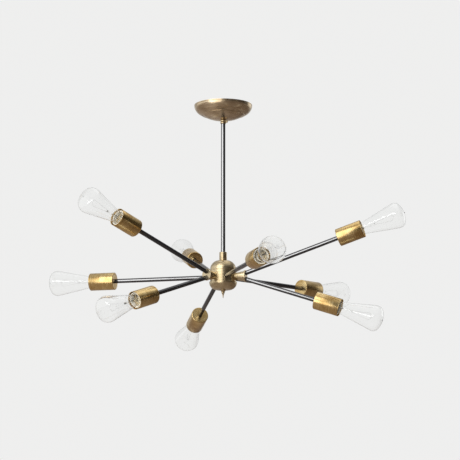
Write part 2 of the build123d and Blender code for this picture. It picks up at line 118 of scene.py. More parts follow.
def rounded(*corners, steps=5):
    """An outline through the corners; a third number in a corner is the radius that rounds it."""
    outline = []
    for i, corner in enumerate(corners):
        point = Vector(corner[:2])
        if len(corner) == 2:
            outline.append(tuple(point))
            continue
        before = (Vector(corners[i - 1][:2]) - point).normalized()
        after = (Vector(corners[(i + 1) % len(corners)][:2]) - point).normalized()
        half = before.angle(after) / 2
        centre = point + (before + after).normalized() * corner[2] / sin(half)
        start = point + before * corner[2] / tan(half) - centre
        end = point + after * corner[2] / tan(half) - centre
        first = atan2(start.y, start.x)
        turn = (atan2(end.y, end.x) - first + pi) % (2 * pi) - pi
        for k in range(steps + 1):
            angle = first + turn * k / steps
            outline.append((centre.x + corner[2] * cos(angle), centre.y + corner[2] * sin(angle)))
    return outline


def moved_in(outline, distance):
    """The outline moved to the right of its direction by distance."""
    points = [Vector(p) for p in outline]
    found = []
    for i, point in enumerate(points):
        sides = []
        for a, b in ((i - 1, i), (i, i + 1)):
            if 0 <= a and b < len(points):
                along = (points[b] - points[a]).normalized()
                sides.append(Vector((along.y, -along.x)))
        middle = sum(sides, Vector((0, 0))).normalized()
        found.append(tuple(point + middle * distance / max(middle.dot(sides[0]), 0.5)))
    return found


# Modelling


AXIS_R = 1e-3  # the smallest ring, which stands for a point on the axis, in millimetres
MERGE = 0.004  # points nearer than this, in millimetres, become one


def deselect():
    bpy.ops.object.select_all(action="DESELECT")


def make_active(piece):
    deselect()
    piece.select_set(True)
    bpy.context.view_layer.objects.active = piece


def turned(name, outline, segments=ROUND, closed=True):
    """Turns an outline about Z: a ring is extruded to each point and scaled to its radius."""
    deselect()
    points = [(max(r, AXIS_R) * MM, z * MM) for r, z in outline]
    if closed:
        points.append(points[0])
    first_r, first_z = points[0]
    bpy.ops.mesh.primitive_circle_add(vertices=segments, radius=first_r, location=(0, 0, first_z))
    piece = bpy.context.object
    piece.name = piece.data.name = name
    bpy.ops.object.transform_apply(location=True, rotation=True, scale=True)
    bpy.ops.object.mode_set(mode="EDIT")
    bpy.ops.mesh.select_all(action="SELECT")
    for (r, z), (next_r, next_z) in zip(points, points[1:]):
        bpy.ops.mesh.extrude_edges_move(TRANSFORM_OT_translate={"value": (0, 0, next_z - z)})
        ratio = next_r / r
        if abs(ratio - 1) > 1e-6:
            bpy.ops.transform.resize(value=(ratio, ratio, 1), center_override=(0, 0, next_z))
    bpy.ops.mesh.select_all(action="SELECT")
    bpy.ops.mesh.remove_doubles(threshold=MERGE * MM)
    bpy.ops.mesh.normals_make_consistent(inside=False)
    bpy.ops.object.mode_set(mode="OBJECT")
    return piece


def apply(piece, kind, **settings):
    """Adds a modifier with these settings and applies it."""
    make_active(piece)
    modifier = piece.modifiers.new(kind.title(), kind)
    for key, value in settings.items():
        setattr(modifier, key, value)
    bpy.ops.object.modifier_apply(modifier=modifier.name)
    return piece


def cut(piece, *cutters):
    """Cuts the cutters out of the piece and removes them."""
    for cutter in cutters:
        apply(piece, "BOOLEAN", object=cutter, operation="DIFFERENCE", solver="EXACT")
        bpy.data.objects.remove(cutter)
    return piece


def drill(name, radius, low, high, place, mouth_r=0.0, segments=48):
    """A cutter for a round hole from low to high, opened to mouth_r at its outer end."""
    outline = [(0, low), (radius, low), (radius, high - 1.0)]
    outline += [(max(mouth_r, radius), high), (0, high)]
    return placed(turned(name, outline, segments, closed=False), place)


def soften(piece, degrees=35):
    make_active(piece)
    bpy.ops.object.shade_smooth_by_angle(angle=radians(degrees))
    return piece


def mark_axis(piece):
    """Keeps each point's place on the piece's own axis, for finishes that run round it."""
    store = piece.data.attributes.new("turning", "FLOAT_VECTOR", "POINT")
    flat = [value for vertex in piece.data.vertices for value in vertex.co]
    store.data.foreach_set("vector", flat)
    return piece


def finished(piece, material, degrees=35):
    """Smooths the piece, marks its axis and gives it its finish."""
    soften(piece, degrees)
    mark_axis(piece)
    piece.data.materials.clear()
    piece.data.materials.append(material)
    return piece


def placed(piece, place, name=None):
    """Moves the mesh to its place; the object stays at the origin."""
    piece.data.transform(place)
    piece.data.update()
    if name:
        piece.name = piece.data.name = name
    return piece


def copied(piece, place, name):
    twin = bpy.data.objects.new(name, piece.data.copy())
    bpy.context.scene.collection.objects.link(twin)
    return placed(twin, place, name)


def joined(name, pieces):
    make_active(pieces[0])
    for piece in pieces[1:]:
        piece.select_set(True)
    bpy.ops.object.join()
    pieces[0].name = pieces[0].data.name = name
    return pieces[0]


def ridden(piece, body, slot, *nodes):
    """Rides the piece on its body, in place of its nodes."""
    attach(piece, body)
    if nodes:
        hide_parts(*nodes)
    return piece


def in_each_cup(piece, name, body, slot, node):
    """Copies a piece into every lamp cup; the copies are joined where one node holds them all."""
    twins = [copied(piece, cup_place(arm), name + "_" + arm) for arm in ARM_NAMES]
    bpy.data.objects.remove(piece)
    if "{}" not in node:
        return [ridden(joined(name, twins), body, slot, node)]
    return [
        ridden(twin, body.format(arm), slot, node.format(arm))
        for twin, arm in zip(twins, ARM_NAMES)
    ]


THREADED_R = 10.0  # points inside this radius take no thread


def wound(piece, low, high, pitch, depth):
    """Presses a round thread into the wall between two heights."""
    for vertex in piece.data.vertices:
        height = vertex.co.z / MM
        r = vertex.co.xy.length
        if r < THREADED_R * MM or not low < height < high:
            continue
        fade = min(1, (height - low) / pitch, (high - height) / pitch)
        wave = 0.5 - 0.5 * cos(2 * pi * height / pitch - atan2(vertex.co.y, vertex.co.x))
        vertex.co.xy *= (r - depth * MM * fade * wave) / r
    return piece


def wire(name, points, radius, sides=3, smooth=True):
    """A wire along the points, in millimetres, as a mesh."""
    curve = bpy.data.curves.new(name, "CURVE")
    curve.dimensions = "3D"
    curve.bevel_depth = radius * MM
    curve.bevel_resolution = sides
    curve.use_fill_caps = True
    spline = curve.splines.new("NURBS" if smooth else "POLY")
    spline.points.add(len(points) - 1)
    for point, co in zip(spline.points, points):
        point.co = (co[0] * MM, co[1] * MM, co[2] * MM, 1)
    if smooth:
        spline.order_u = 3
        spline.use_endpoint_u = True
        spline.resolution_u = 4
    piece = bpy.data.objects.new(name, curve)
    bpy.context.scene.collection.objects.link(piece)
    make_active(piece)
    bpy.ops.object.convert(target="MESH")
    return piece


# Places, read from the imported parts


def axis_frame(origin, axis):
    """A frame at origin with Z along axis and X as near to up as it gets."""
    z = Vector(axis).normalized()
    y = Vector((0, 0, 1)).cross(z).normalized()
    x = y.cross(z)
    return Matrix.Translation(origin) @ Matrix((x, y, z)).transposed().to_4x4()


def tube_ends(arm):
    """The two ends of an arm's tube, the hub's first, and its direction."""
    axis = Vector(JOINTS["bulb_" + arm + "_out"]["axis"]).normalized()
    low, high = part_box("arm_" + arm)
    size = high - low
    i = max(range(3), key=lambda k: abs(axis[k]))
    length = (size[i] - 2 * TUBE_R * MM * sqrt(1 - axis[i] ** 2)) / abs(axis[i])
    middle = (low + high) / 2
    return middle - axis * length / 2, middle + axis * length / 2, axis


def cup_place(arm):
    """The back face of the arm's lamp cup, with Z towards its mouth."""
    start, end, axis = tube_ends(arm)
    return axis_frame(end - axis * TUBE_IN_CUP * MM, axis)


def holder_place(side):
    """The hub's centre, with Z out along the twin-arm holder."""
    axis = tube_ends("upper_" + side)[2] + tube_ends("lower_" + side)[2]
    return axis_frame(HUB.to_translation(), axis)


def level_place(side):
    """The hub's centre, with Z out along the level arm."""
    return axis_frame(HUB.to_translation(), tube_ends("level_" + side)[2])


# Materials


def node(tree, kind, inputs=None, **settings):
    """A node with its settings; inputs gives values, or sockets to link from."""
    made = tree.nodes.new(kind)
    for key, value in settings.items():
        setattr(made, key, value)
    for key, value in (inputs or {}).items():
        if isinstance(value, bpy.types.NodeSocket):
            tree.links.new(value, made.inputs[key])
        else:
            made.inputs[key].default_value = value
    return made


def maths(tree, operation, *values):
    return node(tree, "ShaderNodeMath", dict(enumerate(values)), operation=operation).outputs[0]


def new_group(name, inputs, outputs):
    """A shader node group with its sockets, and its input and output nodes."""
    group = bpy.data.node_groups.new(name, "ShaderNodeTree")
    for socket, value in inputs.items():
        made = group.interface.new_socket(socket, in_out="INPUT", socket_type="NodeSocketFloat")
        made.default_value = value
    for socket in outputs:
        group.interface.new_socket(socket, in_out="OUTPUT", socket_type="NodeSocketFloat")
    return group, group.nodes.new("NodeGroupInput"), group.nodes.new("NodeGroupOutput")


def turning_lines():
    """Fine lines round a turned piece, on its side and on its faces alike."""
    group, start, end = new_group("turning_lines", {"Lines per mm": 3.0, "Drift": 0.015}, ["Line"])
    place = node(group, "ShaderNodeAttribute", attribute_name="turning").outputs["Vector"]
    x, y, z = node(group, "ShaderNodeSeparateXYZ", {0: place}).outputs
    flat = node(group, "ShaderNodeCombineXYZ", {0: x, 1: y}).outputs[0]
    radius = node(group, "ShaderNodeVectorMath", {0: flat}, operation="LENGTH").outputs["Value"]
    scale = maths(group, "MULTIPLY", start.outputs["Lines per mm"], 1000.0)
    slow = maths(group, "MULTIPLY", scale, start.outputs["Drift"])
    across = maths(group, "MULTIPLY", maths(group, "MULTIPLY_ADD", radius, 1.3, z), scale)
    slow_x, slow_y = maths(group, "MULTIPLY", x, slow), maths(group, "MULTIPLY", y, slow)
    stretched = node(group, "ShaderNodeCombineXYZ", {0: slow_x, 1: slow_y, 2: across}).outputs[0]
    grain = {"Vector": stretched, "Scale": 1.0, "Detail": 3.0, "Roughness": 0.6}
    noise = node(group, "ShaderNodeTexNoise", grain)
    group.links.new(noise.outputs["Fac"], end.inputs["Line"])
    return group


def patina():
    """Soft uneven patches, as of age and handling, and a finer mottle."""
    group, start, end = new_group("patina", {"Patch size": 25.0}, ["Patch", "Mottle"])
    place = node(group, "ShaderNodeTexCoord").outputs["Object"]
    scale = maths(group, "DIVIDE", 1000.0, start.outputs["Patch size"])
    patch = node(group, "ShaderNodeTexNoise", {"Vector": place, "Scale": scale, "Detail": 2.0})
    fine = maths(group, "MULTIPLY", scale, 9.0)
    mottle = node(group, "ShaderNodeTexNoise", {"Vector": place, "Scale": fine, "Detail": 4.0})
    group.links.new(patch.outputs["Fac"], end.inputs["Patch"])
    group.links.new(mottle.outputs["Fac"], end.inputs["Mottle"])
    return group


TURNING_LINES = turning_lines()
PATINA = patina()


def new_material(name):
    """A node material, its tree and its shader."""
    material = bpy.data.materials.new(name)
    material.use_nodes = True
    return material, material.node_tree, material.node_tree.nodes["Principled BSDF"]


def effect(tree, group, values=None):
    made = tree.nodes.new("ShaderNodeGroup")
    made.node_tree = group
    for key, value in (values or {}).items():
        made.inputs[key].default_value = value
    return made.outputs


def ramp(tree, source, *stops):
    """A colour ramp over source; stops are (place, colour)."""
    made = node(tree, "ShaderNodeValToRGB", {"Fac": source})
    while len(made.color_ramp.elements) < len(stops):
        made.color_ramp.elements.new(0.5)
    for element, (place, colour) in zip(made.color_ramp.elements, stops):
        element.position = place
        element.color = (*colour, 1)
    return made.outputs["Color"]


def spread(tree, source, low, high):
    """Maps a noise, which lies mostly from 0.3 to 0.7, to low to high."""
    ends = {"Value": source, "From Min": 0.3, "From Max": 0.7, "To Min": low, "To Max": high}
    return node(tree, "ShaderNodeMapRange", ends).outputs["Result"]


def smooth_rise(tree, source, start, end, top=1.0):
    """Rises smoothly from 0 to top as source goes from start to end."""
    ends = {"Value": source, "From Min": start, "From Max": end, "To Max": top}
    made = node(tree, "ShaderNodeMapRange", ends, interpolation_type="SMOOTHSTEP")
    return made.outputs["Result"]


def set_bump(tree, shader, height, depth, strength):
    """Bump of this depth in millimetres."""
    values = {"Height": height, "Distance": depth * MM, "Strength": strength}
    bump = node(tree, "ShaderNodeBump", values)
    tree.links.new(bump.outputs["Normal"], shader.inputs["Normal"])


def set_plain(shader, **values):
    for key, value in values.items():
        shader.inputs[key.replace("_", " ")].default_value = value


def brass(name, dark, middle, light, roughness, lines=3.0):
    """Brushed brass, darkened with age, whose lines run round the piece."""
    material, tree, shader = new_material(name)
    line = effect(tree, TURNING_LINES, {"Lines per mm": lines})["Line"]
    age = effect(tree, PATINA)
    tone = maths(tree, "MULTIPLY_ADD", age["Patch"], 0.3, maths(tree, "MULTIPLY", line, 0.5))
    colour = ramp(tree, tone, (0.3, dark), (0.4, middle), (0.5, light))
    tree.links.new(colour, shader.inputs["Base Color"])
    worn = spread(tree, line, roughness - 0.05, roughness + 0.06)
    tree.links.new(worn, shader.inputs["Roughness"])
    set_plain(shader, Metallic=1.0, Coat_Weight=0.12, Coat_Roughness=0.2)
    set_bump(tree, shader, line, 0.006, 0.7)
    return material


def black_finish():
    """Glossy black finish on drawn tube."""
    material, tree, shader = new_material("black_tube_finish")
    age = effect(tree, PATINA, {"Patch size": 12.0})
    colour = ramp(tree, age["Mottle"], (0.4, (0.004, 0.004, 0.005)), (0.6, (0.008, 0.008, 0.009)))
    tree.links.new(colour, shader.inputs["Base Color"])
    tree.links.new(spread(tree, age["Patch"], 0.08, 0.14), shader.inputs["Roughness"])
    set_plain(shader, IOR=1.75)
    set_bump(tree, shader, age["Patch"], 0.01, 0.1)
    return material


def plated(name, tint, roughness=0.3):
    """Plated steel with its faint spangle."""
    material, tree, shader = new_material(name)
    age = effect(tree, PATINA, {"Patch size": 6.0})
    dark = tuple(c * 0.8 for c in tint)
    tree.links.new(ramp(tree, age["Patch"], (0.4, dark), (0.6, tint)), shader.inputs["Base Color"])
    worn = spread(tree, age["Mottle"], roughness, roughness + 0.15)
    tree.links.new(worn, shader.inputs["Roughness"])
    set_plain(shader, Metallic=1.0)
    return material


def glaze():
    """White glazed porcelain, a little uneven and warmer where the glaze is thin."""
    material, tree, shader = new_material("white_porcelain")
    age = effect(tree, PATINA, {"Patch size": 14.0})
    colour = ramp(tree, age["Patch"], (0.35, (0.84, 0.76, 0.6)), (0.6, (0.9, 0.85, 0.73)))
    tree.links.new(colour, shader.inputs["Base Color"])
    tree.links.new(spread(tree, age["Mottle"], 0.16, 0.26), shader.inputs["Roughness"])
    set_plain(shader, Coat_Weight=0.5, Coat_Roughness=0.06)
    set_bump(tree, shader, age["Patch"], 0.1, 0.3)
    return material


def cement():
    """Tan cement that holds the bulb's glass in its cap."""
    material, tree, shader = new_material("tan_cement")
    age = effect(tree, PATINA, {"Patch size": 5.0})
    colour = ramp(tree, age["Mottle"], (0.35, (0.78, 0.6, 0.33)), (0.65, (0.88, 0.74, 0.48)))
    tree.links.new(colour, shader.inputs["Base Color"])
    tree.links.new(spread(tree, age["Patch"], 0.55, 0.75), shader.inputs["Roughness"])
    set_bump(tree, shader, age["Mottle"], 0.3, 0.5)
    return material


def clear_glass():
    """Clear blown glass with the faint waves of its making, which lets lamplight through."""
    material, tree, shader = new_material("clear_bulb_glass")
    age = effect(tree, PATINA, {"Patch size": 40.0})
    tint = ramp(tree, age["Mottle"], (0.3, (0.985, 0.99, 0.985)), (0.7, (1.0, 1.0, 1.0)))
    tree.links.new(tint, shader.inputs["Base Color"])
    in_shadow = node(tree, "ShaderNodeLightPath").outputs["Is Shadow Ray"]
    tree.links.new(maths(tree, "SUBTRACT", 1.0, in_shadow), shader.inputs["Alpha"])
    set_plain(shader, Roughness=0.0, IOR=1.5, Transmission_Weight=1.0)
    set_bump(tree, shader, age["Patch"], 0.05, 0.15)
    return material


def black_glass():
    """Black glass round the eyelet of a bulb's cap."""
    material, tree, shader = new_material("black_insulator_glass")
    age = effect(tree, PATINA, {"Patch size": 4.0})
    colour = ramp(tree, age["Patch"], (0.4, (0.008, 0.008, 0.01)), (0.6, (0.02, 0.02, 0.024)))
    tree.links.new(colour, shader.inputs["Base Color"])
    tree.links.new(spread(tree, age["Mottle"], 0.08, 0.2), shader.inputs["Roughness"])
    return material


HUB_BRASS = brass(
    "antique_brass", (0.38, 0.29, 0.16), (0.57, 0.46, 0.28), (0.76, 0.65, 0.44), 0.31
)
CANOPY_BRASS = brass(
    "canopy_brass", (0.4, 0.3, 0.18), (0.6, 0.475, 0.31), (0.8, 0.67, 0.47), 0.26, lines=2.0
)
CUP_BRASS = brass(
    "golden_brass", (0.38, 0.22, 0.07), (0.62, 0.43, 0.17), (0.84, 0.66, 0.35), 0.27
)
CAP_BRASS = brass(
    "pressed_brass", (0.4, 0.27, 0.1), (0.58, 0.42, 0.19), (0.7, 0.55, 0.3), 0.22, lines=1.5
)
BLACK = black_finish()
STEEL = plated("zinc_plated_steel", (0.62, 0.63, 0.65))
GREEN = plated("green_ground_screw", (0.04, 0.28, 0.1))
SOLDER = plated("eyelet_solder", (0.55, 0.55, 0.56), 0.35)
WIRE = plated("filament_wire", (0.5, 0.49, 0.48), 0.35)
GLAZE = glaze()
CEMENT = cement()
GLASS = clear_glass()
INSULATOR = black_glass()


# Canopy and its carrier, with heights from the ceiling


CANOPY_LOW = -32.5
CANOPY_WALL = 1.0
CANOPY_HOLE_R = 5.36
BOWL_BULGE = -3.6  # of the wall from its chord
DOME_BULGE = -2.6
RING_TOP = -32.55
RING_MIDDLE = -37.05
RING_LOW = -41.55


def canopy():
    """Spun bowl: a rolled rim, a bulging wall, a stepped bead and a shallow dome to the stem."""
    rim, lip, bead = (63.5, 0), (63.5, -3), (47.5, -20.8)
    step, drop, flat = (46.1, -20.8), (46.1, -21.5), (9.0, CANOPY_LOW)
    skin = [rim, (63.5, -1.6), (63.2, -1.9), (63.2, -2.3), (63.45, -2.6)]
    skin += bulged(lip, bead, BOWL_BULGE, 24)[1:]
    skin += [(46.9, -20.9), (46.75, -21.15)] + arc((46.25, -21.5), 0.6, 30, -120, 8)
    skin += [(45.85, -21.75), (45.6, -21.65)]
    skin += bulged((45.2, -21.85), flat, DOME_BULGE, 24)
    skin += [(5.56, CANOPY_LOW), (CANOPY_HOLE_R, CANOPY_LOW + 0.2)]
    inner = [rim, lip] + bulged(lip, bead, BOWL_BULGE, 24)[1:] + [step]
    inner += bulged(drop, flat, DOME_BULGE, 24) + [(CANOPY_HOLE_R, CANOPY_LOW)]
    bowl = turned("canopy_bowl", skin + moved_in(inner, CANOPY_WALL)[::-1], FINE_ROUND)
    ridden(finished(bowl, CANOPY_BRASS), "canopy", "antique_brass", "canopy")


SCREW_R = 1.5
SCREW_HEAD_R = 3.2
RIM_POINTS = 64  # round the screw's head; every second one is a groove of its knurl
KNURL = 0.93  # a groove's radius over the head's
SCREW_PLACE = axis_frame((0, 0, RING_MIDDLE * MM), JOINTS["thumb_screw_turn"]["axis"])


def slip_ring():
    """Two rounded bands with a groove between, drilled for the thumb screw."""
    outline = [(4.84, RING_TOP), (5.7, RING_TOP)]
    outline += bulged((5.8, RING_TOP - 0.1), (5.8, RING_MIDDLE + 0.3), -0.6, 10)
    outline += [(5.6, RING_MIDDLE)]
    outline += bulged((5.8, RING_MIDDLE - 0.3), (5.8, RING_LOW + 0.1), -0.6, 10)
    outline += [(5.7, RING_LOW), (4.84, RING_LOW)]
    ring = turned("slip_ring_body", outline)
    cut(ring, drill("screw_hole", 1.55, 0, 9, SCREW_PLACE, segments=32))
    ridden(finished(ring, HUB_BRASS), "slip_ring", "antique_brass", "slip_ring")


def thumb_screw():
    """Round head with a knurled rim and a dished face, on a plain shank."""
    outline = [(0, 4.91), (1.2, 4.91), (SCREW_R, 5.2), (SCREW_R, 7.3), (0, 7.3)]
    shank = turned("screw_shank", outline, 32, closed=False)
    outline = [(0, 7.2), (2.6, 7.2), (3.05, 7.5)]
    outline += [(SCREW_HEAD_R, height) for height in (7.7, 8.2, 8.8, 9.4, 9.9)]
    outline += [(3.0, 10.2), (2.5, 10.2), (2.3, 9.9), (0, 10.05)]
    head = turned("screw_head", outline, RIM_POINTS, closed=False)
    for vertex in head.data.vertices:
        place = round(atan2(vertex.co.y, vertex.co.x) / (2 * pi / RIM_POINTS))
        if vertex.co.xy.length > (SCREW_HEAD_R - 0.1) * MM and place % 2:
            vertex.co.xy *= KNURL
    screw = joined("thumb_screw_body", [finished(head, HUB_BRASS), finished(shank, HUB_BRASS)])
    placed(screw, SCREW_PLACE)
    ridden(screw, "thumb_screw", "antique_brass", "thumb_screw")


# Stem and hub, with heights from the plane of the level arms


def tube(name, low, high):
    """A piece of black tube with its ends broken."""
    ends = [(TUBE_R, low, 0.25), (TUBE_R, high, 0.25)]
    outline = rounded((TUBE_BORE_R, low), *ends, (TUBE_BORE_R, high), steps=3)
    return finished(turned(name, outline, 80), BLACK)


def stem():
    low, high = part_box("stem")
    piece = tube("stem_tube", low.z / MM, high.z / MM)
    ridden(piece, "fixture", "black_tube", "stem")


HUB_R = 28.0
HUB_WALL = 1.5
HUB_TOP = 36.0
HUB_LOW = -28.0
BODY_TOP = 14.0
BODY_LOW = -15.0
FLAT_APOTHEM = 22.5  # of the six flats inside the hub
NECK_TOP = 54.0
NECK_R = 8.2


def neck_coupling():
    """Threaded sleeve with a turned line near its top."""
    outline = [(HOLE_R, 46.0), (HOLE_R, 53.7), (5.1, NECK_TOP), (7.5, NECK_TOP)]
    outline += arc((7.5, 53.3), 0.7, 90, 0, 5)
    outline += [(NECK_R, 50.1), (7.9, 49.8), (7.9, 49.5), (NECK_R, 49.2), (NECK_R, 37.0)]
    outline += [(7.9, 36.4), (7.9, HUB_TOP)]
    outline += [(HOLE_R, HUB_TOP), (HOLE_R, 43.0), (WIRE_BORE_R, 43.0), (WIRE_BORE_R, 46.0)]
    piece = turned("neck_sleeve", outline)
    placed(finished(piece, HUB_BRASS), HUB)
    ridden(piece, "fixture", "antique_brass", "neck_coupling")


def hub_top():
    """Domed cap, rounded where it meets the body."""
    dome = arc((8.5, 16.5), 19.5, 0, 90, 28)[1:]
    skin = [(27.7, BODY_TOP), (HUB_R, 14.35), (HUB_R, 16.5)] + dome
    skin += [(5.0, HUB_TOP), (HOLE_R, 35.8)]
    inner = [(HUB_R, BODY_TOP), (HUB_R, 16.5)] + dome + [(HOLE_R, HUB_TOP)]
    inner = moved_in(inner, -HUB_WALL)
    piece = turned("hub_dome", skin + inner[::-1], FINE_ROUND)
    placed(finished(piece, HUB_BRASS), HUB)
    ridden(piece, "fixture", "antique_brass", "hub_top_cap")


def hub_body():
    """Ring with six flats inside, drilled for the arms and spot-faced for their holders."""
    outline = [(0, BODY_LOW), (HUB_R, BODY_LOW), (HUB_R, 13.7), (27.7, BODY_TOP)]
    outline += [(26.45, BODY_TOP), (26.45, 15.6), (0, 15.6)]
    ring = turned("hub_ring", outline, FINE_ROUND, closed=False)
    deselect()
    corner_r = FLAT_APOTHEM / cos(radians(30))
    bpy.ops.mesh.primitive_cylinder_add(vertices=6, radius=corner_r * MM, depth=40 * MM)
    hexagon = bpy.context.object
    across = holder_place(HOLDER_SIDES[0]).to_3x3().col[2]
    placed(hexagon, Matrix.Rotation(atan2(across.y, across.x) - radians(60), 4, "Z"))
    cut(ring, hexagon)
    to_hub = HUB.inverted()
    for side in HOLDER_SIDES:
        place = to_hub @ holder_place(side)
        hole = drill("stud_hole", HOLE_R, 15, 40, place)
        cut(ring, hole, drill("spot_face", 6.85, 26.9, 40, place))
    for side in LEVEL_SIDES:
        cut(ring, drill("arm_hole", HOLE_R, 15, 28.2, to_hub @ level_place(side), mouth_r=5.3))
    placed(finished(ring, HUB_BRASS, 30), HUB)
    ridden(ring, "fixture", "antique_brass", "hub_body")


def hub_bottom():
    """Rounded bowl whose rim laps the body."""
    bend, bend_r = (14, -12), 16
    outline = [(28.05, -11.3), (28.3, -11.0), (29.7, -11.0), (30.0, -11.3), (30.0, -12.0)]
    outline += arc(bend, bend_r, 0, -90, 28)[1:]
    outline += [(5.1, HUB_LOW), (HOLE_R, -27.7)]
    outline += [(HOLE_R, HUB_LOW + HUB_WALL), (14, HUB_LOW + HUB_WALL)]
    outline += arc(bend, bend_r - HUB_WALL, -90, -26.3, 16)[1:]
    outline += [(27.0, BODY_LOW), (28.05, BODY_LOW)]
    piece = turned("hub_bowl", outline, FINE_ROUND)
    placed(finished(piece, HUB_BRASS), HUB)
    ridden(piece, "fixture", "antique_brass", "hub_bottom_cap")


def finial():
    """Turned knob that runs out into a thin spike, on its stud."""
    low = HUB_LOW
    outline = [(0, low + 8), (3.1, low + 8), (3.35, low + 7.7), (3.35, low), (5.7, low)]
    outline += arc((5.2, low - 0.8), 0.8, 60, -50, 6)
    outline += bulged((5.55, low - 1.75), (3.4, low - 7), 0.5, 8)
    outline += [(3.5, low - 7.2), (3.3, low - 7.6)]
    outline += bulged((2.6, low - 7.9), (0.75, low - 17.4), 0.35, 10)
    outline += arc((0, low - 17.4), 0.6, -15, -90, 4)
    piece = turned("finial_spike", outline, 64, closed=False)
    placed(finished(piece, HUB_BRASS), HUB)
    ridden(piece, "fixture", "antique_brass", "finial")


# Arms


FORK_POINT = 30.99  # where the two pockets' axes cross, from the hub's axis
POCKET_FLOOR = 15.49  # from that crossing, along each pocket


def holder():
    """Turned holder: stud, neck, flare and flange, with two tilted pockets."""
    outline = [(0, 17.5), (4.5, 17.5), (TUBE_R, 17.8), (TUBE_R, 26.9), (6.8, 26.9), (6.8, 28.3)]
    outline += bulged((7.7, 28.7), (10.9, 46.6), 0.3, 12)
    outline += arc((11.5, 46.8), 0.6, 180, 90, 4)[1:]
    outline += [(12.1, 47.4), (12.75, 47.9), (12.75, 48.5)]
    outline += arc((11.95, 50.2), 0.8, 0, 90, 6)
    outline += [(0, 51.0)]
    piece = turned("twin_holder", outline, FINE_ROUND, closed=False)
    for tilt in (ARM_TILT, -ARM_TILT):
        place = Matrix.Translation((0, 0, FORK_POINT * MM)) @ Matrix.Rotation(radians(tilt), 4, "Y")
        cut(piece, drill("pocket", HOLE_R, POCKET_FLOOR, 40, place, segments=64))
    return cut(piece, drill("wire_way", WIRE_BORE_R, 10, 42, CEILING))


def holders():
    model = finished(holder(), HUB_BRASS, 30)
    for side in HOLDER_SIDES:
        piece = copied(model, holder_place(side), "twin_holder_" + side)
        ridden(piece, "fixture", "antique_brass", "arm_holder_" + side)
    bpy.data.objects.remove(model)


def arms():
    for arm in ARM_NAMES:
        start, end, axis = tube_ends(arm)
        piece = tube("arm_tube_" + arm, 0, (end - start).length / MM)
        placed(piece, axis_frame(start, axis))
        ridden(piece, "fixture", "black_tube", "arm_" + arm)


# Lamp sockets, with heights from the back of the cup


def lamp_cups():
    """Drawn cup with a rounded back and a rolled mouth."""
    outline = [(HOLE_R, 1.5), (HOLE_R, 0.2), (5.0, 0), (17.65, 0)]
    outline += arc((17.65, 1.4), 1.4, -90, 0, 8)[1:]
    outline += [(19.05, 54.8), (18.95, 55.0), (19.05, 55.2)]
    outline += arc((18.55, 55.5), 0.5, 0, 180, 8)
    outline += [(18.05, 3.0)] + arc((16.55, 3.0), 1.5, 0, -90, 4)[1:]
    cup = finished(turned("lamp_cup", outline, 128), CUP_BRASS)
    in_each_cup(cup, "lamp_cup", "fixture", "antique_brass", "socket_cup_{}")


def porcelain_sockets():
    """Glazed body with a rounded mouth, moulded round the screw shell."""
    outline = [(7.6, 7.2), (16.4, 7.2), (16.8, 7.6), (16.8, 51.9)]
    outline += arc((15.2, 51.9), 1.6, 0, 90, 8)[1:]
    outline += arc((14.9, 52.5), 1.0, 90, 180, 6)
    outline += [(13.9, 14.5), (1.5, 14.5), (1.5, 11.0), (7.6, 11.0)]
    socket = finished(turned("porcelain_socket", outline), GLAZE)
    in_each_cup(socket, "porcelain_sockets", "fixture", "porcelain", "socket_insulators")


THREAD_PITCH = 3.63


def rows(radius, low, high, step):
    """A straight wall from low to high, divided for a thread."""
    count = max(1, round(abs(high - low) / step))
    return [(radius, low + (high - low) * i / count) for i in range(count + 1)]


def screw_shells():
    """Threaded brass shell with its ring at the foot."""
    outline = [(8.2, 14.5), (13.6, 14.5)] + rows(13.7, 14.7, 37.6, 0.45)
    outline += [(13.6, 38.0), (13.4, 38.0)] + rows(13.3, 37.6, 15.0, 0.45) + [(8.2, 14.9)]
    shell = wound(turned("screw_shell", outline, 72), 17, 36.5, THREAD_PITCH, 0.25)
    finished(shell, CAP_BRASS)
    in_each_cup(shell, "threaded_shells", "fixture", "socket_brass", "screw_shells")


# Bulbs


EYELET = 19.3
CAP_END = 46.0
CAP_R = 13.0
STEM_TOP = 84.0


def bulb_cap():
    """Screw cap with its thread, cement, black glass insulator and soldered eyelet."""
    shoulder = EYELET + 4.7
    wall = [(9.6, shoulder + 0.1), (11.4, shoulder)] + arc((11.6, shoulder + 1.4), 1.4, -90, 0, 5)
    wall += rows(CAP_R, shoulder + 1.8, CAP_END - 1.0, 0.45)[1:]
    wall += [(CAP_R, CAP_END - 0.2), (12.8, CAP_END), (12.6, CAP_END), (12.5, CAP_END - 0.4)]
    wall += [(12.5, EYELET + 9.0), (9.6, EYELET + 8.0)]
    cap = wound(turned("screw_cap", wall, 72), shoulder + 2.2, CAP_END - 3.2, THREAD_PITCH, 0.55)
    glass = [(0, EYELET + 0.8), (4.6, EYELET + 0.8), (4.9, EYELET + 1.2)]
    glass += bulged((5.2, EYELET + 1.3), (9.6, shoulder + 0.2), 0.3, 6)
    glass += [(9.6, EYELET + 8.5), (0, EYELET + 8.5)]
    eyelet = bulged((0, EYELET), (4.4, EYELET + 0.5), 0.12, 6)
    eyelet += [(4.7, EYELET + 0.8), (4.7, EYELET + 1.2), (0, EYELET + 1.2)]
    cement = [(0.8, 30.0), (12.45, 30.0), (12.45, 45.6), (12.1, 45.3), (12.08, 37.2), (11.7, 36.6)]
    cement += [(10.6, 36.9), (2.2, 36.2), (0.8, 36.0)]
    parts = [finished(cap, CAP_BRASS), finished(turned("cap_cement", cement, 64), CEMENT)]
    parts.append(finished(turned("cap_glass", glass, 64, closed=False), INSULATOR))
    parts.append(finished(turned("cap_eyelet", eyelet, 48, closed=False), SOLDER))
    return joined("screw_cap", parts)


